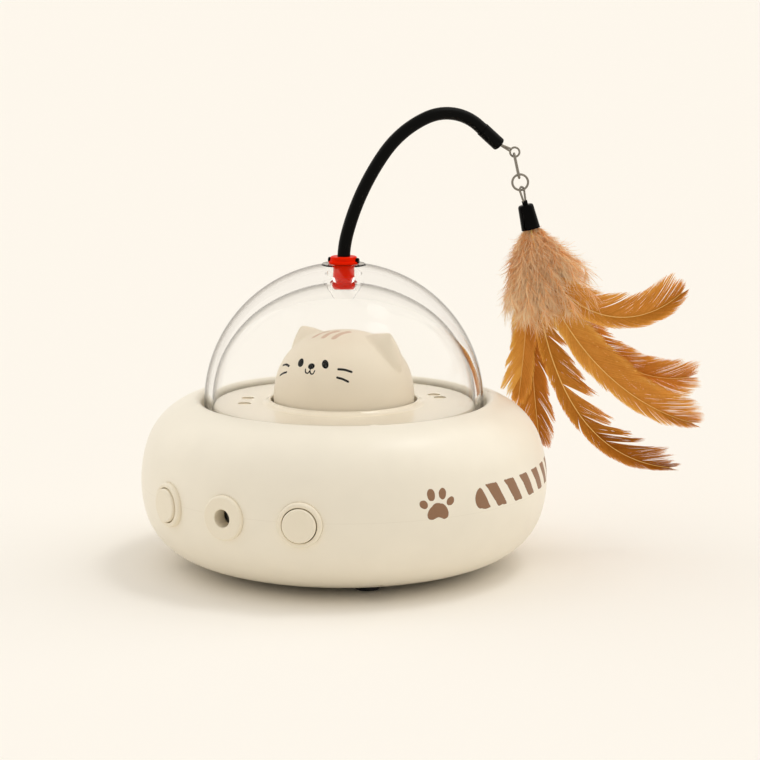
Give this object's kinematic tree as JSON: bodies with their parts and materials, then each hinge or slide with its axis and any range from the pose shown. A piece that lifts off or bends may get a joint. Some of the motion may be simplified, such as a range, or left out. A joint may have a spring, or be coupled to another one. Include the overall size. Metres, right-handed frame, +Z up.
{
  "type": "automatic cat laser toy",
  "caption": "Round battery toy for cats: a turning clear dome over a cat's head, a curved wand with a feather lure on top, push buttons and a sweeping laser behind a front hole.",
  "frame": {"origin": "on the floor under the middle of the body, in the plane of the rubber feet's undersides", "axes": "+Z up, the turning axis of the dome; -Y is the front, where the laser hole is; +X is to the right seen from the front"},
  "size_m": [0.1779, 0.1705, 0.1673],
  "materials": {
    "housing_cream": "satin moulded ABS",
    "deck_cream": "polished ABS",
    "head_cream": "soft matt plastic with a printed face",
    "inner_plastic": "moulded ABS",
    "gear_plastic": "acetal",
    "screw_steel": "zinc plated",
    "motor_steel": "plated steel",
    "foot_rubber": "matt",
    "cell_jacket": "plain wrapped cell",
    "contact_metal": "nickel plated",
    "board_green": "solder mask",
    "component_black": "moulded",
    "laser_brass": "turned",
    "lens_clear": "clear",
    "dome_clear": "clear polished plastic",
    "plug_red": "gloss",
    "pin_black": "glossy moulded plastic",
    "wand_black": "soft sheen",
    "chain_steel": "nickel plated",
    "feather_brown": "golden brown feather",
    "fluff_tan": "down"
  },
  "bodies": {
    "base": {"lower_housing": "housing_cream", "upper_housing": "housing_cream", "housing_screws": "screw_steel", "rubber_feet": "foot_rubber", "battery_door": "housing_cream", "door_screw": "screw_steel", "battery_cells": "cell_jacket", "battery_contacts": "contact_metal", "chassis": "inner_plastic", "chassis_screws": "screw_steel", "gear_motor": "motor_steel", "motor_clamp": "inner_plastic", "clamp_screws": "screw_steel", "left_bezel": "housing_cream", "right_bezel": "housing_cream", "aperture_bezel": "housing_cream", "switch_boards": "board_green", "tact_switches": "component_black", "sweep_motor": "motor_steel", "sweep_bracket": "inner_plastic", "bracket_screws": "screw_steel", "main_board": "board_green", "board_parts": "component_black"},
    "turntable_unit": {"turntable": "inner_plastic", "ring_gear": "gear_plastic", "ring_screws": "screw_steel", "deck": "deck_cream", "deck_screws": "screw_steel", "dome": "dome_clear"},
    "pinion_unit": {"motor_shaft": "motor_steel", "drive_pinion": "gear_plastic"},
    "head_unit": {"head_shell": "head_cream", "head_base": "inner_plastic", "head_screws": "screw_steel", "head_spindle": "motor_steel", "spindle_clip": "screw_steel", "head_gear": "gear_plastic"},
    "left_button_cap": {"left_button": "housing_cream"},
    "right_button_cap": {"right_button": "housing_cream"},
    "laser_unit": {"laser_module": "laser_brass", "laser_lens": "lens_clear", "laser_cradle": "inner_plastic", "sweep_shaft": "motor_steel"},
    "wand": {"wand_plug": "plug_red", "plug_pins": "pin_black", "wand_tube": "wand_black", "end_sleeve": "wand_black", "wand_eye": "chain_steel"},
    "link": {"chain_link": "chain_steel"},
    "ring": {"chain_ring": "chain_steel"},
    "lure": {"ferrule_loop": "chain_steel", "ferrule_cap": "pin_black", "fluff": "fluff_tan", "feather_1": "feather_brown", "feather_2": "feather_brown", "feather_3": "feather_brown", "feather_4": "feather_brown", "feather_5": "feather_brown", "feather_6": "feather_brown"}
  },
  "joints": [
    {"name": "dome_turn", "type": "hinge", "parent": "base", "child": "turntable_unit", "pos_m": [0, 0, 0.052], "axis": [0, 0, 1], "continuous": true},
    {"name": "pinion_spin", "type": "hinge", "parent": "base", "child": "pinion_unit", "pos_m": [0, 0.032, 0.04], "axis": [0, 0, 1], "continuous": true},
    {"name": "head_turn", "type": "hinge", "parent": "base", "child": "head_unit", "pos_m": [0, 0, 0.04], "axis": [0, 0, 1], "continuous": true},
    {"name": "left_button_press", "type": "slide", "parent": "base", "child": "left_button_cap", "axis": [0.3778, 0.9259, 0], "range_m": [0, 0.001], "stiffness_N_per_m": 500, "springref_m": -0.001},
    {"name": "right_button_press", "type": "slide", "parent": "base", "child": "right_button_cap", "axis": [-0.3778, 0.9259, 0], "range_m": [0, 0.001], "stiffness_N_per_m": 500, "springref_m": -0.001},
    {"name": "laser_sweep", "type": "hinge", "parent": "base", "child": "laser_unit", "pos_m": [0, -0.066, 0.0307], "axis": [0, 0, 1], "range_deg": [-12, 12]},
    {"name": "wand_pull", "type": "slide", "parent": "turntable_unit", "child": "wand", "axis": [0, 0, 1], "range_m": [0, 0.009]},
    {"name": "link_swing", "type": "hinge", "parent": "wand", "child": "link", "pos_m": [0.04051, 0.05376, 0.14811], "axis": [0.8387, 0.5446, 0], "range_deg": [-1.5, 50]},
    {"name": "ring_swing", "type": "hinge", "parent": "link", "child": "ring", "pos_m": [0.04197, 0.05471, 0.14028], "axis": [0.5446, -0.8387, 0], "range_deg": [-1.5, 40]},
    {"name": "lure_swing", "type": "hinge", "parent": "ring", "child": "lure", "pos_m": [0.04285, 0.05528, 0.13577], "axis": [0.8387, 0.5446, 0], "range_deg": [-2, 40]}
  ],
  "couplings": [
    {"joint": "pinion_spin", "follows": "dome_turn", "ratio": 5},
    {"joint": "head_turn", "follows": "dome_turn", "ratio": -1.6667}
  ]
}
